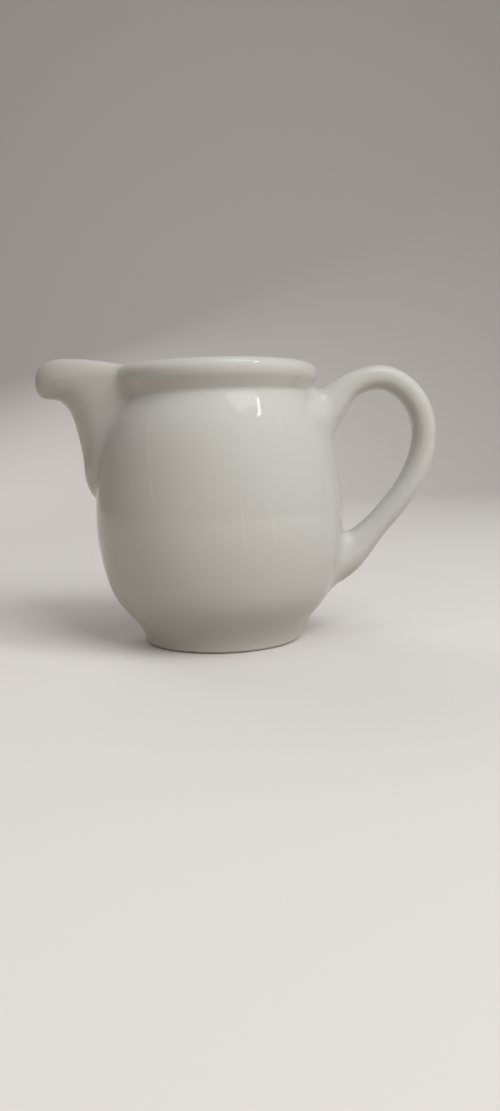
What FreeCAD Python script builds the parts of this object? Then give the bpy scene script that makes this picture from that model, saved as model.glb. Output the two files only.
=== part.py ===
import FreeCAD, Part
import math
import os

# A small glazed porcelain creamer, all in millimetres.
# The origin is the centre of the foot ring on the table, +Z is up,
# the handle points along +X and the spout along -X.

rimHeight = 74.6
rimCrestRadius = 24.0
rimRadius = 27.5
rimWidestHeight = 71.8
neckRadius = 25.4
neckHeight = 66.2
bellyRadius = 33.9
bellyHeight = 32.0
footRadius = 22.0
footEdge = 1.2
footRingInnerRadius = 17.6
footRecess = 2.2
footSlope = 1.0
wall = 3.1
floorTop = 6.2

spoutRoot = -15.0
spoutBottom = 36.0
spoutLowHalfWidth = 9.0
spoutTopHalfWidth = 13.0
spoutWall = 2.8
lipHeight = 76.8
lipTip = -51.0

handleHalfThickness = 3.3
handleHalfWidth = 4.5
handleFlareThickness = 5.0
handleFlareWidth = 3.5
handleUpperFlare = 18.0
handleLowerFlare = 21.0
handleStations = 16


def vec(x, y, z):
    return FreeCAD.Vector(x, y, z)


def curveThrough(points):
    """A smooth curve in the XZ plane through (x, z) points."""
    curve = Part.BSplineCurve()
    curve.interpolate([vec(x, 0, z) for x, z in points])
    return curve.toShape()


def lineThrough(points):
    places = [vec(x, 0, z) for x, z in points]
    return [Part.makeLine(a, b) for a, b in zip(places, places[1:])]


def spun(edges):
    face = Part.Face(Part.Wire(edges))
    return face.revolve(vec(0, 0, 0), vec(0, 0, 1), 360)


def outerBody():
    """Foot, belly, neck and rolled rim, solid right through to the axis."""
    side = curveThrough(
        [
            (footRadius, footEdge),
            (22.7, 3.0),
            (24.6, 6.0),
            (28.6, 11.0),
            (32.0, 19.0),
            (bellyRadius, bellyHeight),
            (33.1, 45.0),
            (31.4, 54.0),
            (29.0, 60.4),
            (neckRadius, neckHeight),
        ]
    )
    rim = curveThrough(
        [
            (neckRadius, neckHeight),
            (25.4, 67.2),
            (26.3, 69.1),
            (27.2, 70.7),
            (rimRadius, rimWidestHeight),
            (26.8, 73.6),
            (25.6, 74.4),
            (rimCrestRadius, rimHeight),
        ]
    )
    footRound = Part.Arc(
        vec(footRadius - footEdge, 0, 0),
        vec(footRadius - 0.3 * footEdge, 0, 0.3 * footEdge),
        vec(footRadius, 0, footEdge),
    ).toShape()
    top = lineThrough([(rimCrestRadius, rimHeight), (0, rimHeight), (0, 0), (footRadius - footEdge, 0)])
    return spun([footRound, side, rim] + top)


def bodyCavity():
    """The inside of the jug, up to the crest of the rim."""
    crestTop = rimHeight + 8.0
    bottom = curveThrough(
        [
            (0, floorTop),
            (7.0, floorTop + 0.1),
            (15.0, 7.1),
            (23.0, 10.6),
            (28.4, 18.0),
            (bellyRadius - wall, bellyHeight),
            (33.1 - wall, 45.0),
            (28.2, 54.6),
            (25.6, 61.0),
            (22.6, 67.0),
            (21.9, 71.0),
            (22.5, 73.6),
            (rimCrestRadius, rimHeight),
        ]
    )
    rest = lineThrough([(rimCrestRadius, rimHeight), (rimCrestRadius, crestTop), (0, crestTop), (0, floorTop)])
    return spun([bottom] + rest)


def footUnderside():
    """The shallow recess inside the foot ring, with a sloping inner side."""
    edges = lineThrough(
        [
            (0, -1.0),
            (footRingInnerRadius + footSlope, -1.0),
            (footRingInnerRadius + footSlope, 0),
            (footRingInnerRadius, footRecess),
            (0, footRecess),
            (0, -1.0),
        ]
    )
    return spun(edges)


def spoutSection(height, reach, halfWidth):
    """A half oval lying level: its nose at -reach and its flat side in the body."""
    length = reach + spoutRoot
    centre = vec(spoutRoot, 0, height)
    if length > halfWidth:
        oval = Part.Ellipse(vec(spoutRoot - length, 0, height), vec(spoutRoot, halfWidth, height), centre)
        half = Part.ArcOfEllipse(oval, -0.5 * math.pi, 0.5 * math.pi).toShape()
    else:
        half = Part.Arc(
            vec(spoutRoot, halfWidth, height),
            vec(spoutRoot - length, 0, height),
            vec(spoutRoot, -halfWidth, height),
        ).toShape()
    ends = [v.Point for v in half.Vertexes]
    return Part.Wire([half, Part.makeLine(ends[-1], ends[0])])


def spoutHalfWidth(height):
    """The spout widens evenly from its bottom to the rim."""
    share = min((height - spoutBottom) / (rimWidestHeight - spoutBottom), 1.0)
    return spoutLowHalfWidth + (spoutTopHalfWidth - spoutLowHalfWidth) * share


def spoutSolid(stations, inset):
    """A smooth solid through level sections given as height and reach."""
    sections = [spoutSection(height, reach, spoutHalfWidth(height) - inset) for height, reach in stations]
    return Part.makeLoft(sections, True, False)


def spoutOuter():
    """The throat rises from the belly and rolls over into an overhanging beak."""
    body = spoutSolid(
        [
            (spoutBottom, 32.6),
            (39.3, 34.1),
            (42.0, 35.8),
            (50.0, 37.0),
            (56.0, 37.9),
            (60.0, 38.8),
            (63.8, 40.3),
            (65.1, 41.3),
            (65.9, 42.5),
            (66.35, 44.6),
            (66.7, 46.8),
            (67.4, 48.0),
            (68.6, 48.6),
            (70.8, 48.88),
            (73.5, 48.5),
            (76.0, 46.9),
            (78.5, 43.8),
        ],
        0.0,
    )
    top = curveThrough(
        [
            (spoutRoot, 73.8),
            (-23.0, 74.6),
            (-30.0, 75.9),
            (-37.0, lipHeight),
            (-43.0, lipHeight),
            (-48.0, 74.8),
            (lipTip, 71.8),
        ]
    )
    under = lineThrough([(lipTip, 71.8), (lipTip, 30.0), (spoutRoot, 30.0), (spoutRoot, 73.8)])
    profile = Part.Face(Part.Wire([top] + under))
    profile.translate(vec(0, -20.0, 0))
    keep = profile.extrude(vec(0, 40.0, 0))
    return body.common(keep)


def spoutChannel():
    """The hollow of the spout, one wall inside it."""
    return spoutSolid(
        [
            (39.5, 30.2),
            (43.0, 32.8),
            (50.0, 34.0),
            (56.0, 34.8),
            (62.0, 36.2),
            (66.0, 38.2),
            (68.6, 40.4),
            (70.4, 43.0),
            (72.0, 44.8),
            (74.0, 45.6),
            (80.0, 46.6),
        ],
        spoutWall,
    )


def handleSection(centre, way, flare):
    """An oval across the way the handle runs, thicker and wider by its share of the flare."""
    across = vec(-way.z, 0, way.x)
    sideways = vec(0, handleHalfWidth + handleFlareWidth * flare, 0)
    upwards = across * (handleHalfThickness + handleFlareThickness * flare)
    if sideways.Length > upwards.Length:
        oval = Part.Ellipse(centre + sideways, centre + upwards, centre)
    else:
        oval = Part.Ellipse(centre + upwards, centre + sideways, centre)
    return Part.Wire(oval.toShape())


def handle():
    """The ear: it leaves below the rim, loops over and comes back low on the belly."""
    path = Part.BSplineCurve()
    path.interpolate(
        [
            vec(25.5, 0, 59.8),
            vec(30.4, 0, 63.4),
            vec(35.1, 0, 67.5),
            vec(40.4, 0, 69.9),
            vec(45.6, 0, 70.2),
            vec(51.2, 0, 67.2),
            vec(55.3, 0, 61.2),
            vec(56.4, 0, 54.4),
            vec(54.6, 0, 46.4),
            vec(50.4, 0, 38.8),
            vec(44.6, 0, 31.9),
            vec(39.6, 0, 26.6),
            vec(34.0, 0, 22.2),
            vec(28.0, 0, 20.6),
        ]
    )
    length = path.length()
    sections = []
    for station in range(handleStations + 1):
        walked = length * station / handleStations
        place = path.parameterAtDistance(walked, path.FirstParameter)
        fromTop = max(1.0 - walked / handleUpperFlare, 0.0)
        fromEnd = max(1.0 - (length - walked) / handleLowerFlare, 0.0)
        flare = fromTop ** 2 + fromEnd ** 2
        sections.append(handleSection(path.value(place), path.tangent(place)[0], flare))
    return Part.makeLoft(sections, True, False)


def creamer():
    hollow = bodyCavity()
    channel = spoutChannel()
    body = outerBody().cut(hollow).cut(channel)
    spout = spoutOuter().cut(hollow).cut(channel)
    ear = handle().cut(hollow)
    solid = body.fuse(spout).fuse(ear)
    solid = solid.cut(footUnderside())
    return solid.removeSplitter()


os.makedirs("parts", exist_ok=True)
shape = creamer()
shape.exportStep("parts/creamer.step")
print("creamer solids", len(shape.Solids), "volume", round(shape.Volume, 1), "valid", shape.isValid())
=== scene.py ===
import math

import bpy
import numpy as np
from mathutils import Matrix


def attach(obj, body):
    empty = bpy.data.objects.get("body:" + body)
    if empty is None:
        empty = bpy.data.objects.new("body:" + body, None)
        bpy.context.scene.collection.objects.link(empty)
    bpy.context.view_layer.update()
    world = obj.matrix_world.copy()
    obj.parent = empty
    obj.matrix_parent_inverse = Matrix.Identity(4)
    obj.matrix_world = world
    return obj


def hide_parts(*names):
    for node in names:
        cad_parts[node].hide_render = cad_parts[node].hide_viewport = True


# A small white porcelain creamer on a pale table. Lengths in the dictionaries are millimetres;
# +Z is up, the ear points along +X, the spout along -X, and the foot stands on z = 0.

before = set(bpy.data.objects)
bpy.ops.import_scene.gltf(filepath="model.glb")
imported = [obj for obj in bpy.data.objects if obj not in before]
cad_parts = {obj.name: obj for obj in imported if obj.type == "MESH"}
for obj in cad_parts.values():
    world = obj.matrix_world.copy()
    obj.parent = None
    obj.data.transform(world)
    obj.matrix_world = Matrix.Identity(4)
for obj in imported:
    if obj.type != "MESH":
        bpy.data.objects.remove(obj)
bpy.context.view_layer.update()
toMetres = 0.001

# Camera first.

cameraSettings = {
    "place": (7.85, -230.7, 52.5),
    "tiltDown": 7.4,      # degrees below level
    "roll": -1.6,         # degrees about the line of sight
    "lens": 27.0,
    "sensor": 36.0,
}


def makeCamera(settings):
    # Looks along +Y, tilted down, then rolled about its own line of sight.
    tilt = math.radians(settings["tiltDown"])
    roll = math.radians(settings["roll"])
    ahead = np.array([0.0, math.cos(tilt), -math.sin(tilt)])
    right = np.array([1.0, 0.0, 0.0])
    up = np.cross(right, ahead)
    rightRolled = right * math.cos(roll) + up * math.sin(roll)
    upRolled = up * math.cos(roll) - right * math.sin(roll)
    data = bpy.data.cameras.new("tableCamera")
    data.lens = settings["lens"]
    data.sensor_width = settings["sensor"]
    data.clip_start = 0.005
    data.clip_end = 20.0
    holder = bpy.data.objects.new("tableCamera", data)
    bpy.context.scene.collection.objects.link(holder)
    place = np.array(settings["place"]) * toMetres
    columns = np.eye(4)
    columns[:3, 0] = rightRolled
    columns[:3, 1] = upRolled
    columns[:3, 2] = -ahead
    columns[:3, 3] = place
    holder.matrix_world = Matrix(columns.tolist())
    bpy.context.scene.camera = holder


makeCamera(cameraSettings)
print("camera placed")


# Small helpers for surfaces.

def smoothCurve(knots, values, at):
    # Natural cubic spline: one linear solve for the bends at the knots, then the cubic between neighbours.
    knots = np.asarray(knots, float)
    values = np.asarray(values, float)
    gaps = np.diff(knots)
    count = len(knots)
    matrix = np.eye(count)
    target = np.zeros(count)
    inner = np.arange(1, count - 1)
    matrix[inner, inner - 1] = gaps[:-1]
    matrix[inner, inner] = 2.0 * (gaps[:-1] + gaps[1:])
    matrix[inner, inner + 1] = gaps[1:]
    slopes = np.diff(values) / gaps
    target[inner] = 6.0 * np.diff(slopes)
    bends = np.linalg.solve(matrix, target)
    at = np.asarray(at, float)
    spot = np.clip(np.searchsorted(knots, at) - 1, 0, count - 2)
    gap = gaps[spot]
    right = np.clip(at - knots[spot], -gap, 2.0 * gap) / gap
    left = 1.0 - right
    bow = (left ** 3 - left) * bends[spot] + (right ** 3 - right) * bends[spot + 1]
    return left * values[spot] + right * values[spot + 1] + bow * gap * gap / 6.0


def softMax(first, second, blend):
    # The larger of two values, with the corner between them rounded over a width of blend.
    share = np.clip(0.5 + 0.5 * (first - second) / blend, 0.0, 1.0)
    return second + (first - second) * share + blend * share * (1.0 - share)


def softMin(first, second, blend):
    # The smaller of two values, rounded in the same way.
    return -softMax(-first, -second, blend)


def roundPower(angle, power):
    # Cosine and sine bent towards a squarer arc: each is raised to 2 / power and keeps its sign.
    c = np.cos(angle)
    s = np.sin(angle)
    return np.sign(c) * np.abs(c) ** (2.0 / power), np.sign(s) * np.abs(s) ** (2.0 / power)


def addMesh(name, points, faces):
    # Puts whole arrays of points and faces into a smooth-shaded mesh object at the origin.
    mesh = bpy.data.meshes.new(name)
    mesh.from_pydata((points * toMetres).tolist(), [], faces)
    mesh.validate()
    mesh.shade_smooth()
    holder = bpy.data.objects.new(name, mesh)
    bpy.context.scene.collection.objects.link(holder)
    return holder


def closedGrid(name, rows, bottomPole, topPole):
    # Rows of rings, joined ring to ring, and closed by a fan at each pole. rows is (ring, around, xyz).
    rings, around, _ = rows.shape
    points = np.concatenate([rows.reshape(-1, 3), [bottomPole], [topPole]])
    ring = np.arange(rings - 1)[:, None] * around
    here = np.arange(around)[None, :]
    there = (here + 1) % around
    quads = np.stack([ring + here, ring + there, ring + around + there, ring + around + here], axis=2)
    first = np.arange(around)
    second = (first + 1) % around
    bottom = np.stack([np.full(around, rings * around), second, first], axis=1)
    lastRing = (rings - 1) * around
    top = np.stack([np.full(around, rings * around + 1), lastRing + first, lastRing + second], axis=1)
    faces = quads.reshape(-1, 4).tolist() + bottom.tolist() + top.tolist()
    return addMesh(name, points, faces)


# The jug: foot, belly, neck, rolled rim, spout and hollow.

jug = {
    "footInner": 18.6,         # radius where the foot ring meets the table on its inner side
    "footOuter": 20.8,
    "footEdge": 1.2,           # radius of the rounded lower edge of the foot
    "footSteps": 7,            # rows round the foot's outer edge, with its last one in the wall
    "recess": 2.2,
    "recessRadius": 17.4,
    "recessShares": (0.25, 0.5, 0.75, 0.96, 1.0),
    "recessEase": 0.15,        # the recess starts to drop this far before the ring
    "ringWall": (0.25, 0.25),  # inner side of the ring: inset and height
    "ringFlat": (0.15, 1.0),   # the flat standing band, measured from the inner side
    "wallHeights": (1.2, 3.0, 6.0, 11.0, 19.0, 32.0, 45.0, 54.0, 60.4, 66.2, 70.0),
    "wallRadii": (22.0, 22.7, 24.6, 28.6, 32.0, 33.88, 33.1, 31.4, 29.0, 25.4, 22.8),
    "rimMiddle": 71.6,         # height of the widest line of the rolled rim
    "rimRadius": 27.5,
    "rimRoll": 3.5,            # from the widest line in to the crest
    "rimUnder": 0.6,           # slope of the rim's under side
    "rimBend": 2.0,            # height over which the under side turns upright
    "rimSquare": 2.15,
    "rimCove": 0.9,
    "crest": 74.6,
    "innerStart": 72.6,        # height at which the inner wall takes over from the roll
    "levelRuns": (             # rows up the outside: from, up to, how many
        (1.2, 8.0, 14),
        (8.0, 37.0, 28),
        (37.0, 46.0, 16),
        (46.0, 63.0, 22),
        (63.0, 65.8, 12),
        (65.8, 68.6, 24),
    ),
    "lastLevels": (68.6, 16),  # where the last run up to the rim's widest line starts, and its rows
    "lipRows": 15,
    "lipInnerRows": 9,
    "lipTurn": 60.0,           # degrees either side of the spout that may rise above the crest
    "spoutColumns": 150,
    "backColumns": 180,
    "spoutEdge": 45.0,         # degrees either side of the spout that get the finer columns
    "nickTurn": 69.0,          # a small chip in the lower edge of the foot
    "nickWidth": 2.0,
    "nickRise": 0.25,
    "nickEase": 0.4,
    "hollowRadii": (22.0, 21.9, 22.6, 25.6, 28.2, 30.0, 30.8, 28.4, 23.0, 15.0, 7.0, 0.0),
    "hollowHeights": (72.6, 71.0, 67.0, 61.0, 54.6, 45.0, 32.0, 18.0, 10.6, 7.1, 6.3, 6.2),
    "hollowRuns": ((0.0, 12.0, 18), (12.0, 40.0, 18)),     # rows along the hollow's line
    "lastHollow": (40.0, 30),
}

spout = {
    "root": 15.0,              # the level ovals are centred this far out from the axis
    "planReach": 55.0,         # the sides of the spout, seen from above
    "planHeights": (30.0, 36.0, 40.0, 50.0, 60.0, 65.0, 70.0, 75.0),
    "planHalfWidth": (8.0, 8.8, 9.6, 11.2, 12.4, 12.7, 12.8, 12.8),
    "underHeights": (30.0, 36.0, 39.3, 42.0, 50.0, 56.0, 60.0, 62.0, 64.0, 66.0, 68.0, 70.0, 71.6),
    "underReach": (28.0, 32.4, 34.1, 35.7, 37.0, 37.9, 38.8, 39.6, 41.0, 43.2, 46.0, 48.3, 49.0),
    "noseHeights": (60.0, 63.8, 65.0, 65.8, 66.3, 66.6, 66.85, 67.3, 68.0, 69.0, 70.2, 71.6),
    "noseReach": (38.8, 40.3, 41.2, 42.0, 43.2, 45.0, 46.5, 47.6, 48.3, 48.8, 49.0, 49.0),
    "noseTurn": 8.5,           # degrees over which the nose's level under side fades into the sides
    "underHalfWidth": 14.5,
    "underLift": 40.0,         # how fast the under side climbs away from the nose
    "underRound": 5.0,
    "creaseHeights": (30.0, 38.0, 42.0, 47.0, 54.0, 61.0, 66.0, 69.0, 75.0),
    "crease": (0.5, 0.6, 1.2, 2.6, 4.5, 5.0, 3.4, 2.4, 1.8),
    "crestReach": 45.7,
    "crestHalfWidth": 11.0,
    "crestCrease": 5.0,
    "innerPlanReach": 46.4,
    "innerPlanHalfWidth": 9.6,
    "innerHeights": (33.0, 36.0, 39.5, 43.0, 50.0, 56.0, 62.0, 66.0, 68.0, 70.0, 71.5, 72.6, 75.0),
    "innerReach": (24.0, 27.5, 30.4, 32.7, 34.0, 34.8, 36.2, 38.0, 39.4, 41.4, 43.4, 44.4, 44.8),
    "innerHalfWidth": 12.0,
    "innerRound": 3.0,
    "innerCrease": 4.5,
    "topPlaces": (-60.0, -48.0, -45.5, -43.0, -37.0, -30.0, -24.0, -15.0, 30.0),
    "topHeights": (74.6, 75.0, 76.0, 76.7, 76.7, 75.8, 74.7, 74.6, 74.6),
}


def ovalReach(turn, reach, halfWidth):
    # How far a ray from the axis goes to leave a level oval: the root of a quadratic.
    # turn is the angle from -X; the oval is centred at the spout's root.
    length = reach - spout["root"]
    a = (np.cos(turn) / length) ** 2 + (np.sin(turn) / halfWidth) ** 2
    b = -2.0 * spout["root"] * np.cos(turn) / length ** 2
    c = (spout["root"] / length) ** 2 - 1.0
    return (-b + np.sqrt(np.maximum(b * b - 4.0 * a * c, 0.0))) / (2.0 * a)


def wallRadius(height):
    # Belly and neck from a smooth curve, met by the sloping under side of the rim in a small cove.
    belly = smoothCurve(jug["wallHeights"], jug["wallRadii"], height)
    below = np.maximum(jug["rimMiddle"] - height, 0.0)
    bend = jug["rimBend"]
    fall = np.where(below < bend, below * below / (2.0 * bend), below - 0.5 * bend)
    rim = jug["rimRadius"] - jug["rimUnder"] * fall
    return softMax(belly, rim, jug["rimCove"])


def spoutRadius(turn, height):
    # The smaller of the spout's sides and its under side, rounded together.
    # The under side climbs with the squared sine of the turn, so it fades out along the sides.
    # Its line is the nose's own at the tip, and goes over to the softer line of the sides with a bell curve.
    halfWidth = smoothCurve(spout["planHeights"], spout["planHalfWidth"], height)
    plan = ovalReach(turn, spout["planReach"], halfWidth)
    lowered = height - spout["underLift"] * np.sin(turn) ** 2
    nose = np.exp(-(turn / math.radians(spout["noseTurn"])) ** 2)
    nose = np.where(lowered > spout["noseHeights"][0], nose, 0.0)
    reach = smoothCurve(spout["underHeights"], spout["underReach"], lowered)
    reach = reach + nose * (smoothCurve(spout["noseHeights"], spout["noseReach"], lowered) - reach)
    under = ovalReach(turn, reach, spout["underHalfWidth"])
    return softMin(plan, under, spout["underRound"])


def outerRadius(turn, height):
    # The wall of revolution or, above the spout's root, the spout: whichever reaches further.
    # The crease between them is rounded by an amount that follows the height.
    crease = smoothCurve(spout["creaseHeights"], spout["crease"], height)
    wall = wallRadius(height)
    joined = softMax(wall, spoutRadius(turn, height), crease)
    return np.where(height > spout["creaseHeights"][0], joined, wall)


def innerRadius(turn, height, hollow):
    # The hollow of revolution or the spout's channel, whichever reaches further.
    plan = ovalReach(turn, spout["innerPlanReach"], spout["innerPlanHalfWidth"])
    reach = smoothCurve(spout["innerHeights"], spout["innerReach"], height)
    channel = softMin(plan, ovalReach(turn, reach, spout["innerHalfWidth"]), spout["innerRound"])
    joined = softMax(hollow, channel, spout["innerCrease"])
    return np.where(height > spout["innerHeights"][0], joined, hollow)


def turnSteps(fine, coarse, edge):
    # Angles from -X, close together around the spout and wider apart round the rest.
    near = np.linspace(-edge, edge, fine, endpoint=False)
    far = np.linspace(edge, 360.0 - edge, coarse, endpoint=False)
    return np.radians(np.concatenate([near, far]))


def footRows(turn):
    # Outwards under the recess, over the flat standing ring and up a quarter arc.
    # The chip lifts the arc over a narrow turn: rise * bell curve * (1 - height / edge).
    footAngle = np.linspace(-0.5 * math.pi, 0.0, jug["footSteps"])[:-1]
    footRadii = [jug["recessRadius"] * share for share in jug["recessShares"]]
    footHeights = [jug["recess"]] * (len(footRadii) - 1) + [jug["recess"] - jug["recessEase"]]
    inset, insetHeight = jug["ringWall"]
    footRadii += [jug["footInner"] - inset] + [jug["footInner"] + step for step in jug["ringFlat"]]
    footHeights += [insetHeight, 0.0, 0.0]
    footRadii += list(jug["footOuter"] + jug["footEdge"] * np.cos(footAngle))
    footHeights += list(jug["footEdge"] + jug["footEdge"] * np.sin(footAngle))
    footRadii = np.array(footRadii)[:, None] + 0.0 * turn
    footHeights = np.array(footHeights)[:, None] + 0.0 * turn

    nick = np.exp(-((turn - math.radians(jug["nickTurn"])) / math.radians(jug["nickWidth"])) ** 4)
    nick = nick * np.clip((footRadii - jug["footOuter"]) / jug["nickEase"], 0.0, 1.0)
    fade = np.clip(1.0 - footHeights / jug["footEdge"], 0.0, 1.0)
    return footRadii, footHeights + jug["nickRise"] * nick * fade


def outerRows(turn):
    # Level rows from the foot to the rim's widest line, closest together under the beak.
    lastStart, lastRows = jug["lastLevels"]
    levels = [np.linspace(low, high, rows, endpoint=False) for low, high, rows in jug["levelRuns"]]
    levels.append(np.linspace(lastStart, jug["rimMiddle"], lastRows))
    heights = np.concatenate(levels)[:, None] + 0.0 * turn
    return outerRadius(turn, heights), heights


def lipRows(turn, widest):
    # Two quarter arcs, from the widest line up to the crest and from the crest into the hollow.
    # The crest itself is the rim's circle or the beak's oval, and its height follows the distance along X.
    crestOval = ovalReach(turn, spout["crestReach"], spout["crestHalfWidth"])
    crest = softMax(jug["rimRadius"] - jug["rimRoll"], crestOval, spout["crestCrease"])
    top = smoothCurve(spout["topPlaces"], spout["topHeights"], -crest * np.cos(turn))
    raised = np.abs(turn) < math.radians(jug["lipTurn"])
    top = np.where(raised, np.maximum(top, jug["crest"]), jug["crest"])

    climb = np.linspace(0.0, 0.5 * math.pi, jug["lipRows"])[1:, None]
    across, up = roundPower(climb, jug["rimSquare"])
    lipOut = crest + (widest - crest) * across
    lipOutHeights = jug["rimMiddle"] + (top - jug["rimMiddle"]) * up

    hollowStart = np.full_like(turn, jug["innerStart"])
    inner = innerRadius(turn, hollowStart, jug["hollowRadii"][0])
    fall = np.linspace(0.5 * math.pi, 0.0, jug["lipInnerRows"])[1:, None]
    across, up = np.cos(fall), np.sin(fall)
    lipIn = crest + (inner - crest) * across
    lipInHeights = jug["innerStart"] + (top - jug["innerStart"]) * up
    return np.concatenate([lipOut, lipIn]), np.concatenate([lipOutHeights, lipInHeights])


def hollowRows(turn):
    # Down the hollow's line by its length, each row widened to the spout's channel.
    radii = np.array(jug["hollowRadii"])
    depths = np.array(jug["hollowHeights"])
    along = np.concatenate([[0.0], np.cumsum(np.hypot(np.diff(radii), np.diff(depths)))])
    lastStart, lastRows = jug["lastHollow"]
    runs = [np.linspace(low, high, rows, endpoint=False) for low, high, rows in jug["hollowRuns"]]
    runs.append(np.linspace(lastStart, along[-1], lastRows, endpoint=False))
    steps = np.concatenate(runs)[1:]
    hollow = smoothCurve(along, radii, steps)[:, None] + 0.0 * turn
    hollowHeights = smoothCurve(along, depths, steps)[:, None] + 0.0 * turn
    return innerRadius(turn, hollowHeights, hollow), hollowHeights


def makeJug():
    # Rows run from the middle of the underside, up the outside, over the lip and down to the floor.
    # Each row is a ring whose radius is a function of turn and height.
    turn = turnSteps(jug["spoutColumns"], jug["backColumns"], jug["spoutEdge"])[None, :]
    outer = outerRows(turn)
    parts = [footRows(turn), outer, lipRows(turn, outer[0][-1:]), hollowRows(turn)]
    radius = np.concatenate([part[0] for part in parts])
    height = np.concatenate([part[1] for part in parts])
    turns = turn + 0.0 * radius
    rows = np.stack([-radius * np.cos(turns), -radius * np.sin(turns), height], axis=2)
    return closedGrid("glazedJug", rows, (0.0, 0.0, jug["recess"]), (0.0, 0.0, jug["hollowHeights"][-1]))


# The ear: an oval carried along a looped path, with a rounded join at each end.

ear = {
    "x": (25.5, 30.4, 35.1, 40.4, 45.6, 51.2, 55.3, 56.36, 54.6, 50.4, 44.6, 39.6, 34.0, 28.0),
    "z": (59.8, 63.4, 67.5, 69.9, 70.2, 67.2, 61.2, 54.4, 46.4, 38.8, 31.9, 26.6, 22.2, 20.6),
    "halfThickness": 3.3,
    "halfWidth": 4.5,
    "flareThickness": 5.0,     # how much thicker and wider the ends become
    "flareWidth": 3.5,
    "upperFlare": 18.0,        # length over which each end swells
    "lowerFlare": 21.0,
    "square": 2.15,
    "joinOuter": (3.0, 3.2),   # join radii at the upper and the lower end
    "joinInner": (1.8, 3.0),
    "joinSide": (4.5, 4.5),
    "joinReach": 0.62,         # share of the way to the corner that the cubic's handles reach
    "sink": 0.02,              # how far the join's edge sits under the jug's surface
    "tuck": (0.9, 0.6),        # the skin's hidden end: this far under the wall and this far inwards
    "slopeStep": 0.01,         # half the distance over which the path's slope is taken
    "nudge": 0.004,            # small step of way that gives the ear's direction
    "searchSpan": 0.30,        # share of the path searched for the wall from each end
    "searchSteps": 600,
    "around": 84,
    "along": 130,
    "joinRows": 22,
    "softenReach": (2.0, 1.5, 1.0),        # distances from the join's edge, with the strength within each
    "softenStrength": (0.3, 0.7, 1.0),
    "softenFactor": 0.5,
    "softenSteps": 16,
}


def earPoint(way, angleAround):
    # A point of the oval section: centre + across * thickness * cos + sideways * width * sin.
    # way is the share of the path's length, and the ends swell with its squared distance.
    steps = np.hypot(np.diff(ear["x"]), np.diff(ear["z"]))
    knots = np.concatenate([[0.0], np.cumsum(steps)])
    length = knots[-1]
    walked = way * length
    x = smoothCurve(knots, ear["x"], walked)
    z = smoothCurve(knots, ear["z"], walked)
    small = ear["slopeStep"]
    dx = smoothCurve(knots, ear["x"], walked + small) - smoothCurve(knots, ear["x"], walked - small)
    dz = smoothCurve(knots, ear["z"], walked + small) - smoothCurve(knots, ear["z"], walked - small)
    run = np.hypot(dx, dz)
    flare = np.clip(1.0 - walked / ear["upperFlare"], 0.0, 1.0) ** 2
    flare = flare + np.clip(1.0 - (length - walked) / ear["lowerFlare"], 0.0, 1.0) ** 2
    thickness = ear["halfThickness"] + ear["flareThickness"] * flare
    width = ear["halfWidth"] + ear["flareWidth"] * flare
    c, s = roundPower(angleAround, ear["square"])
    return np.stack([x - dz / run * thickness * c, width * s, z + dx / run * thickness * c], axis=-1)


def unit(vectors):
    # Each vector divided by its own length.
    return vectors / np.linalg.norm(vectors, axis=-1, keepdims=True)


def alongSurface(vectors, normal):
    # What is left of each vector without its share along the normal, at length one.
    return unit(vectors - normal * np.sum(vectors * normal, axis=-1, keepdims=True))


def wallClearance(points):
    # How far points stand outside the jug's wall, measured level from the axis.
    turn = np.arctan2(-points[..., 1], -points[..., 0])
    return np.hypot(points[..., 0], points[..., 1]) - outerRadius(turn, points[..., 2])


def wallNormal(points):
    # The wall's outward normal from central differences of the clearance.
    step = 0.05
    parts = [
        wallClearance(points + step * np.eye(3)[k]) - wallClearance(points - step * np.eye(3)[k])
        for k in range(3)
    ]
    return unit(np.stack(parts, axis=-1))


def contactWay(angleAround, wayStart, wayEnd):
    # For each line along the ear, where it first leaves the jug's wall between two ways.
    ways = np.linspace(wayStart, wayEnd, ear["searchSteps"])[:, None]
    clear = wallClearance(earPoint(ways + 0.0 * angleAround[None, :], angleAround[None, :] + 0.0 * ways))
    first = np.argmax(clear > 0.0, axis=0)
    first = np.maximum(first, 1)
    column = np.arange(len(angleAround))
    low = clear[first - 1, column]
    high = clear[first, column]
    share = -low / (high - low)
    return ways[first - 1, 0] + share * (ways[first, 0] - ways[first - 1, 0])


def joinRadius(angleAround, end):
    # The join's size round the ear: outer, inner and side sizes, mixed by squared cosine and sine.
    outerShare = np.clip(np.cos(angleAround), 0.0, 1.0) ** 2
    innerShare = np.clip(-np.cos(angleAround), 0.0, 1.0) ** 2
    radius = ear["joinSide"][end] * np.sin(angleAround) ** 2
    return radius + ear["joinOuter"][end] * outerShare + ear["joinInner"][end] * innerShare


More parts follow.
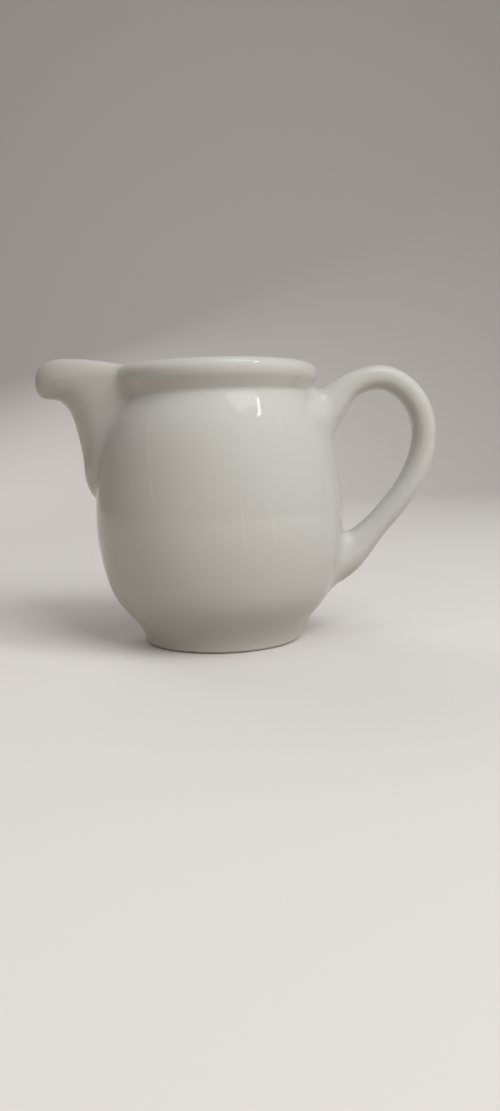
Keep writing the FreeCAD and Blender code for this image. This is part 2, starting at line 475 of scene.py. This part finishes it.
def joinRows(angleAround, wayStart, wayEnd, towards, end):
    # A rounded join: a cubic from the wall to the ear that leaves each along its own surface.
    # towards is 1 or -1, the sense in which way leads away from this end.
    contact = contactWay(angleAround, wayStart, wayEnd)
    corner = earPoint(contact, angleAround)
    radius = joinRadius(angleAround, end)
    nudge = ear["nudge"]
    speed = np.linalg.norm(earPoint(contact + towards * nudge, angleAround) - corner, axis=-1) / nudge
    leave = contact + towards * radius / speed
    onEar = earPoint(leave, angleAround)
    back = unit(earPoint(leave - towards * nudge, angleAround) - onEar)
    outward = alongSurface(corner - corner.mean(axis=0), wallNormal(corner))
    onWall = corner + radius[:, None] * outward
    clear = wallClearance(onWall) + ear["sink"]
    level = onWall * np.array([1.0, 1.0, 0.0])
    onWall -= clear[:, None] * level / np.linalg.norm(level, axis=-1, keepdims=True)
    wallUp = wallNormal(onWall)
    under, inwards = ear["tuck"]
    inside = onWall - under * wallUp - inwards * outward
    ahead = alongSurface(corner - onWall, wallUp)
    reach = ear["joinReach"]
    wallReach = reach * np.linalg.norm(corner - onWall, axis=-1, keepdims=True)
    earReach = reach * np.linalg.norm(corner - onEar, axis=-1, keepdims=True)
    share = np.linspace(0.0, 1.0, ear["joinRows"])[:, None, None]
    rest = 1.0 - share
    rows = rest ** 3 * onWall + 3.0 * rest ** 2 * share * (onWall + ahead * wallReach)
    rows = rows + 3.0 * rest * share ** 2 * (onEar + back * earReach) + share ** 3 * onEar
    return np.concatenate([inside[None], rows]), leave, inside.mean(axis=0), onWall


def makeEar():
    # Join rows, then rings along the path from one join to the other, then the second join's rows.
    angles = np.linspace(2.0 * math.pi, 0.0, ear["around"], endpoint=False)
    span = ear["searchSpan"]
    startRows, startWay, startPole, startEdge = joinRows(angles, 0.0, span, 1.0, 0)
    endRows, endWay, endPole, endEdge = joinRows(angles, 1.0, 1.0 - span, -1.0, 1)
    share = np.linspace(0.0, 1.0, ear["along"])[1:-1, None]
    ways = startWay[None, :] + (endWay - startWay)[None, :] * share
    middle = earPoint(ways, angles[None, :] + 0.0 * ways)
    rows = np.concatenate([startRows, middle, endRows[::-1]])
    return closedGrid("loopEar", rows, startPole, endPole), np.concatenate([startEdge, endEdge])


def bakeModifiers(piece):
    # What the modifiers show becomes the piece's own smooth mesh.
    bpy.context.view_layer.update()
    depsgraph = bpy.context.evaluated_depsgraph_get()
    mesh = bpy.data.meshes.new_from_object(piece.evaluated_get(depsgraph))
    piece.modifiers.clear()
    piece.data = mesh
    mesh.shade_smooth()


def joinSolids(base, other):
    # Welds two closed skins into one with a union, and keeps the smooth shading.
    weld = base.modifiers.new("weld", "BOOLEAN")
    weld.operation = "UNION"
    weld.solver = "MANIFOLD"
    weld.object = other
    bakeModifiers(base)
    bpy.data.objects.remove(other)
    return base


def softenEdge(piece, edge):
    # Relaxes the skin close to the join's edge, most strongly right on it.
    count = len(piece.data.vertices)
    points = np.empty(3 * count)
    piece.data.vertices.foreach_get("co", points)
    points = points.reshape(-1, 3) / toMetres
    far = max(ear["softenReach"])
    besideEar = (points[:, 0] > edge[:, 0].min() - far) & (np.abs(points[:, 1]) < edge[:, 1].max() + far)
    near = np.nonzero(besideEar)[0]
    gaps = np.linalg.norm(points[near][:, None, :] - edge[None, :, :], axis=2).min(axis=1)
    group = piece.vertex_groups.new(name="joinEdge")
    for reach, strength in zip(ear["softenReach"], ear["softenStrength"]):
        group.add(near[gaps < reach].tolist(), strength, "REPLACE")
    relax = piece.modifiers.new("soften", "SMOOTH")
    relax.factor = ear["softenFactor"]
    relax.iterations = ear["softenSteps"]
    relax.vertex_group = "joinEdge"
    bakeModifiers(piece)


jugPiece = makeJug()
print("jug made", len(jugPiece.data.polygons))
earPiece, joinEdge = makeEar()
print("ear made", len(earPiece.data.polygons))
creamerPiece = joinSolids(jugPiece, earPiece)
softenEdge(creamerPiece, joinEdge)
creamerPiece.name = "glazedCreamer"
print("creamer joined", len(creamerPiece.data.polygons))


# Glaze.

glaze = {
    "colour": (0.582, 0.590, 0.566, 1.0),
    "thinAndShadeColour": (0.568, 0.562, 0.528, 1.0),      # thinner glaze in patches and over the rim, and painted warm shade near the foot
    "speckColour": (0.40, 0.37, 0.33, 1.0),
    "lineColour": (0.612, 0.610, 0.588, 1.0),
    "bareColour": (0.52, 0.48, 0.42, 1.0),         # the unglazed standing ring
    "roughness": 0.09,
    "bareRoughness": 0.75,
    "bareTop": (0.0002, 0.0006),                   # heights between which the glaze starts
    "patchScale": 38.0,
    "patchRange": (0.35, 0.70),                    # cloud values between which a patch fades in
    "patchShare": 0.5,
    "rimThin": (0.0725, 0.0760, 0.35),             # from, to and strength of the thin glaze on the rim
    # from, to and strength of the painted warm shade near the foot
    "footShade": (0.0015, 0.0060, 0.6),
    "waveScale": 65.0,
    "waveHeight": 0.035,                           # millimetres
    "rippleScale": 520.0,
    "rippleHeight": 0.0012,
    "speckScale": 210.0,
    "speckShare": 0.93,                            # cells above this carry a speck
    "speckSize": 0.055,
    "speckCore": 0.4,                              # share of a speck that has its full colour
    "dips": (
        ((0.0106, -0.0233, 0.0659), 0.0009, 0.080),    # centre, radius, depth in millimetres
        ((0.0088, -0.0249, 0.0649), 0.0012, 0.050),
        ((0.0092, -0.0254, 0.0634), 0.0012, 0.040),
        ((0.0103, -0.0240, 0.0655), 0.0009, 0.014),
        ((0.0207, -0.0266, 0.0384), 0.0006, 0.030),
        ((-0.0121, -0.0310, 0.0250), 0.0008, 0.012),
    ),
    "lines": (
        (60.0, 0.30, 0.036, 0.066),                # turn from the spout, lean, lowest, highest
        (101.0, 0.10, 0.026, 0.042),
        (122.0, 0.25, 0.052, 0.066),
        (113.5, 0.35, 0.027, 0.043),
    ),
    "lineWidth": 0.9,                              # degrees
    "lineHeight": 0.003,
    "lineFade": 0.006,                             # length over which a line's ends fade
}


def newGroup(name, inputs, outputs):
    # An empty node group with the named sockets; returns it with its two end nodes.
    group = bpy.data.node_groups.new(name, "ShaderNodeTree")
    for label, kind in inputs:
        group.interface.new_socket(name=label, in_out="INPUT", socket_type="NodeSocket" + kind)
    for label, kind in outputs:
        group.interface.new_socket(name=label, in_out="OUTPUT", socket_type="NodeSocket" + kind)
    return group, group.nodes.new("NodeGroupInput"), group.nodes.new("NodeGroupOutput")


def feed(tree, source, target):
    # A number or a vector sets a socket; another socket is linked to it.
    if isinstance(source, bpy.types.NodeSocket):
        tree.links.new(source, target)
    else:
        target.default_value = source


def maths(tree, operation, first, second=0.0, clamp=False):
    # One maths node: operation(first, second).
    node = tree.nodes.new("ShaderNodeMath")
    node.operation = operation
    node.use_clamp = clamp
    feed(tree, first, node.inputs[0])
    feed(tree, second, node.inputs[1])
    return node.outputs[0]


def rampSmooth(tree, value, low, high, atLow=0.0, atHigh=1.0):
    # A smooth step from atLow to atHigh as value goes from low to high.
    node = tree.nodes.new("ShaderNodeMapRange")
    node.interpolation_type = "SMOOTHSTEP"
    feed(tree, value, node.inputs["Value"])
    feed(tree, low, node.inputs["From Min"])
    feed(tree, high, node.inputs["From Max"])
    feed(tree, atLow, node.inputs["To Min"])
    feed(tree, atHigh, node.inputs["To Max"])
    return node.outputs["Result"]


def noise(tree, place, scale, detail):
    # A cloud of values between zero and one at place.
    node = tree.nodes.new("ShaderNodeTexNoise")
    feed(tree, place, node.inputs["Vector"])
    feed(tree, scale, node.inputs["Scale"])
    feed(tree, detail, node.inputs["Detail"])
    return node.outputs["Fac"]


def splitPlace(tree, place):
    # The three parts of a place.
    node = tree.nodes.new("ShaderNodeSeparateXYZ")
    feed(tree, place, node.inputs[0])
    return node.outputs[0], node.outputs[1], node.outputs[2]


def mixColour(tree, share, first, second):
    # first where share is zero, second where it is one.
    node = tree.nodes.new("ShaderNodeMix")
    node.data_type = "RGBA"
    feed(tree, share, node.inputs["Factor"])
    feed(tree, first, node.inputs[6])
    feed(tree, second, node.inputs[7])
    return node.outputs[2]


def makeWaves():
    # Long slow waves of the glaze plus a faint ripple: height = wave * noise + ripple * noise.
    group, start, end = newGroup("glazeWaves", [("place", "Vector")], [("height", "Float")])
    slow = noise(group, start.outputs["place"], glaze["waveScale"], 1.0)
    quick = noise(group, start.outputs["place"], glaze["rippleScale"], 1.0)
    slow = maths(group, "MULTIPLY", slow, glaze["waveHeight"])
    quick = maths(group, "MULTIPLY", quick, glaze["rippleHeight"])
    feed(group, maths(group, "ADD", slow, quick), end.inputs["height"])
    return group


def makeDip():
    # A round dip: one at its centre, falling smoothly to zero at its radius.
    inputs = [("place", "Vector"), ("centre", "Vector"), ("radius", "Float")]
    group, start, end = newGroup("glazeDip", inputs, [("mask", "Float")])
    gap = group.nodes.new("ShaderNodeVectorMath")
    gap.operation = "DISTANCE"
    feed(group, start.outputs["place"], gap.inputs[0])
    feed(group, start.outputs["centre"], gap.inputs[1])
    share = maths(group, "DIVIDE", gap.outputs["Value"], start.outputs["radius"])
    feed(group, rampSmooth(group, share, 0.0, 1.0, 1.0, 0.0), end.inputs["mask"])
    return group


def makeUprightLine():
    # A thin upright line, drawn lighter and slightly raised: one where the turn from the spout is turn -
    # lean * height above the line's middle.
    inputs = [("place", "Vector")] + [(label, "Float") for label in ("turn", "lean", "low", "high")]
    group, start, end = newGroup("glazeLine", inputs, [("mask", "Float")])
    low, high = start.outputs["low"], start.outputs["high"]
    x, y, z = splitPlace(group, start.outputs["place"])
    angle = maths(group, "ARCTAN2", maths(group, "MULTIPLY", y, -1.0), maths(group, "MULTIPLY", x, -1.0))
    degrees = maths(group, "MULTIPLY", angle, 180.0 / math.pi)
    middle = maths(group, "MULTIPLY", maths(group, "ADD", low, high), 0.5)
    rise = maths(group, "MULTIPLY", maths(group, "SUBTRACT", z, middle), 1.0 / toMetres)
    shift = maths(group, "MULTIPLY", rise, start.outputs["lean"])
    wanted = maths(group, "SUBTRACT", start.outputs["turn"], shift)
    off = maths(group, "ABSOLUTE", maths(group, "SUBTRACT", degrees, wanted))
    line = rampSmooth(group, off, 0.0, glaze["lineWidth"], 1.0, 0.0)
    fade = glaze["lineFade"]
    above = rampSmooth(group, z, low, maths(group, "ADD", low, fade))
    below = rampSmooth(group, z, maths(group, "SUBTRACT", high, fade), high, 1.0, 0.0)
    feed(group, maths(group, "MULTIPLY", line, maths(group, "MULTIPLY", above, below)), end.inputs["mask"])
    return group


def makeSpecks():
    # Specks: a cell carries one where its own random colour is high enough.
    group, start, end = newGroup("glazeSpecks", [("place", "Vector")], [("mask", "Float")])
    cells = group.nodes.new("ShaderNodeTexVoronoi")
    feed(group, start.outputs["place"], cells.inputs["Vector"])
    feed(group, glaze["speckScale"], cells.inputs["Scale"])
    red = group.nodes.new("ShaderNodeSeparateColor")
    feed(group, cells.outputs["Color"], red.inputs[0])
    chosen = maths(group, "GREATER_THAN", red.outputs[0], glaze["speckShare"])
    core = glaze["speckCore"] * glaze["speckSize"]
    spot = rampSmooth(group, cells.outputs["Distance"], core, glaze["speckSize"], 1.0, 0.0)
    feed(group, maths(group, "MULTIPLY", chosen, spot), end.inputs["mask"])
    return group


def makePatchesAndShade():
    # Slow changes of tone, stronger where the glaze runs thin over the rim, plus a painted warm shade near
    # the foot.
    group, start, end = newGroup("glazePatchesAndShade", [("place", "Vector")], [("mask", "Float")])
    height = splitPlace(group, start.outputs["place"])[2]
    cloud = noise(group, start.outputs["place"], glaze["patchScale"], 2.0)
    cloud = rampSmooth(group, cloud, *glaze["patchRange"])
    rimLow, rimHigh, rimStrength = glaze["rimThin"]
    footLow, footHigh, footStrength = glaze["footShade"]
    rim = rampSmooth(group, height, rimLow, rimHigh, 0.0, rimStrength)
    # painted warm shade: full below the first height and gone at the second
    foot = rampSmooth(group, height, footLow, footHigh, footStrength, 0.0)
    cloud = maths(group, "MULTIPLY", cloud, glaze["patchShare"])
    feed(group, maths(group, "ADD", cloud, maths(group, "ADD", rim, foot), True), end.inputs["mask"])
    return group


def makeBareRing():
    # The standing ring has no glaze: one below the first height, zero above the second.
    group, start, end = newGroup("bareRing", [("place", "Vector")], [("mask", "Float")])
    height = splitPlace(group, start.outputs["place"])[2]
    low, high = glaze["bareTop"]
    feed(group, rampSmooth(group, height, low, high, 1.0, 0.0), end.inputs["mask"])
    return group


def useGroup(tree, group, **values):
    # Places a node group in a tree and feeds its inputs by name.
    node = tree.nodes.new("ShaderNodeGroup")
    node.node_tree = group
    for label, value in values.items():
        feed(tree, value, node.inputs[label])
    return node.outputs[0]


def addLines(tree, place):
    # All the upright lines, added up.
    uprightLine = makeUprightLine()
    lines = 0.0
    for turn, lean, low, high in glaze["lines"]:
        line = useGroup(tree, uprightLine, place=place, turn=turn, lean=lean, low=low, high=high)
        lines = maths(tree, "ADD", line, lines)
    return lines


def glazeHeight(tree, place, lines):
    # Waves, less every dip, plus the lines; in millimetres.
    height = useGroup(tree, makeWaves(), place=place)
    dip = makeDip()
    for centre, radius, depth in glaze["dips"]:
        hollow = useGroup(tree, dip, place=place, centre=centre, radius=radius)
        height = maths(tree, "SUBTRACT", height, maths(tree, "MULTIPLY", hollow, depth))
    return maths(tree, "ADD", height, maths(tree, "MULTIPLY", lines, glaze["lineHeight"]))


def glazeColour(tree, place, lines, bare):
    # Glaze, then thinner patches with the painted warm shade near the foot, lines, specks and the bare ring,
    # each laid over the one before.
    patchesAndShade = useGroup(tree, makePatchesAndShade(), place=place)
    specks = useGroup(tree, makeSpecks(), place=place)
    colour = mixColour(tree, patchesAndShade, glaze["colour"], glaze["thinAndShadeColour"])
    colour = mixColour(tree, lines, colour, glaze["lineColour"])
    colour = mixColour(tree, specks, colour, glaze["speckColour"])
    return mixColour(tree, bare, colour, glaze["bareColour"])


def makeGlaze():
    # A glossy coloured body with a bump; only the bare ring is rough.
    material = bpy.data.materials.new("porcelainGlaze")
    material.use_nodes = True
    tree = material.node_tree
    shader = tree.nodes["Principled BSDF"]
    place = tree.nodes.new("ShaderNodeTexCoord").outputs["Object"]
    lines = addLines(tree, place)
    bare = useGroup(tree, makeBareRing(), place=place)
    feed(tree, glazeColour(tree, place, lines, bare), shader.inputs["Base Color"])
    extra = maths(tree, "MULTIPLY", bare, glaze["bareRoughness"] - glaze["roughness"])
    feed(tree, maths(tree, "ADD", extra, glaze["roughness"]), shader.inputs["Roughness"])
    bump = tree.nodes.new("ShaderNodeBump")
    bump.inputs["Distance"].default_value = toMetres
    feed(tree, glazeHeight(tree, place, lines), bump.inputs["Height"])
    feed(tree, bump.outputs["Normal"], shader.inputs["Normal"])
    return material


creamerPiece.data.materials.clear()
creamerPiece.data.materials.append(makeGlaze())
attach(creamerPiece, "root")
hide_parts("creamer")
print("glaze made")


# Table, backdrop and light.

stage = {
    "floorColour": (0.78, 0.765, 0.745, 1.0),
    "bounceColour": (0.43, 0.37, 0.325, 1.0),   # what the table throws back on the jug
    "roughness": 0.9,
    "half": 2.6,                                # metres to each side and to the front
    "bend": 0.5,                                # radius of the curve up
    "back": 1.1,
    "tall": 1.8,
    "flatRows": 12,
    "bendRows": 24,
    "riseRows": 8,
}


def makeTablePaint():
    # Eye, mirror and glass rays see the pale floor; all other light meets the warmer bounce colour.
    material = bpy.data.materials.new("paleTable")
    material.use_nodes = True
    tree = material.node_tree
    shader = tree.nodes["Principled BSDF"]
    path = tree.nodes.new("ShaderNodeLightPath")
    seen = maths(tree, "ADD", path.outputs["Is Camera Ray"], path.outputs["Is Glossy Ray"])
    seen = maths(tree, "ADD", seen, path.outputs["Is Transmission Ray"], True)
    colour = mixColour(tree, seen, stage["bounceColour"], stage["floorColour"])
    feed(tree, colour, shader.inputs["Base Color"])
    shader.inputs["Roughness"].default_value = stage["roughness"]
    return material


def makeStage():
    # A sheet that runs back along the table and curves up behind: a flat run, a quarter arc, a flat rise.
    bend = stage["bend"]
    flat = np.linspace(-stage["half"], stage["back"] - bend, stage["flatRows"])
    arc = np.linspace(0.0, 0.5 * math.pi, stage["bendRows"])[1:]
    rise = np.linspace(bend, stage["tall"], stage["riseRows"])[1:]
    y = np.concatenate([flat, stage["back"] - bend + bend * np.sin(arc), np.full(len(rise), stage["back"])])
    z = np.concatenate([0.0 * flat, bend - bend * np.cos(arc), rise])
    x = np.linspace(-stage["half"], stage["half"], 2)
    points = np.stack([x[:, None] + 0.0 * y, y + 0.0 * x[:, None], z + 0.0 * x[:, None]], axis=2)
    count = len(y)
    near = np.arange(count - 1)
    faces = np.stack([near, near + count, near + count + 1, near + 1], axis=1)
    holder = addMesh("paleTable", points.reshape(-1, 3) / toMetres, faces.tolist())
    holder.data.materials.append(makeTablePaint())
    return holder


makeStage()

lights = {
    "world": (0.215, 0.205, 0.195, 1.0),
    "middle": (0.0, 0.0, 0.04),
    "lamps": (                 # name, place, size, watts, colour, seen in the glaze, lean in degrees
        ("keyLamp", (0.45, -0.47, 0.55), (0.55, 0.55), 5.35, (1.0, 0.995, 0.98), False, 0.0),
        ("fillLamp", (-0.7, -0.5, 0.25), (0.8, 0.8), 0.85, (1.0, 0.87, 0.76), False, 0.0),
        ("rearLamp", (-0.35, 0.62, 0.55), (0.6, 0.6), 2.2, (1.0, 0.98, 0.95), False, 0.0),
        ("stripLamp", (0.449, -0.217, 0.720), (0.011, 0.215), 0.26, (1.0, 1.0, 0.94), True, 44.0),
        ("softLamp", (0.22, -0.16, 0.85), (0.34, 0.40), 0.75, (1.0, 1.0, 0.99), True, 0.0),
    ),
}


def makeLamp(name, place, size, watts, colour, shines, lean):
    # A rectangular lamp that faces the middle of the jug, turned by lean about its own line of sight.
    data = bpy.data.lights.new(name, "AREA")
    data.shape = "RECTANGLE"
    data.size, data.size_y = size
    data.energy = watts
    data.color = colour
    holder = bpy.data.objects.new(name, data)
    bpy.context.scene.collection.objects.link(holder)
    place = np.array(place)
    back = place - np.array(lights["middle"])
    back /= np.linalg.norm(back)
    level = np.cross([0.0, 0.0, 1.0], back)
    level /= np.linalg.norm(level)
    lean = math.radians(lean)
    side = level * math.cos(lean) - np.cross(back, level) * math.sin(lean)
    columns = np.eye(4)
    columns[:3, 0] = side
    columns[:3, 1] = np.cross(back, side)
    columns[:3, 2] = back
    columns[:3, 3] = place
    holder.matrix_world = Matrix(columns.tolist())
    holder.visible_glossy = shines


def makeWorld():
    # An even, slightly warm grey all round.
    world = bpy.data.worlds.new("softRoom")
    bpy.context.scene.world = world
    world.use_nodes = True
    background = world.node_tree.nodes["Background"]
    background.inputs["Color"].default_value = lights["world"]
    background.inputs["Strength"].default_value = 1.0


for lamp in lights["lamps"]:
    makeLamp(*lamp)
makeWorld()
bpy.context.scene.view_settings.view_transform = "Standard"
print("table and light made")
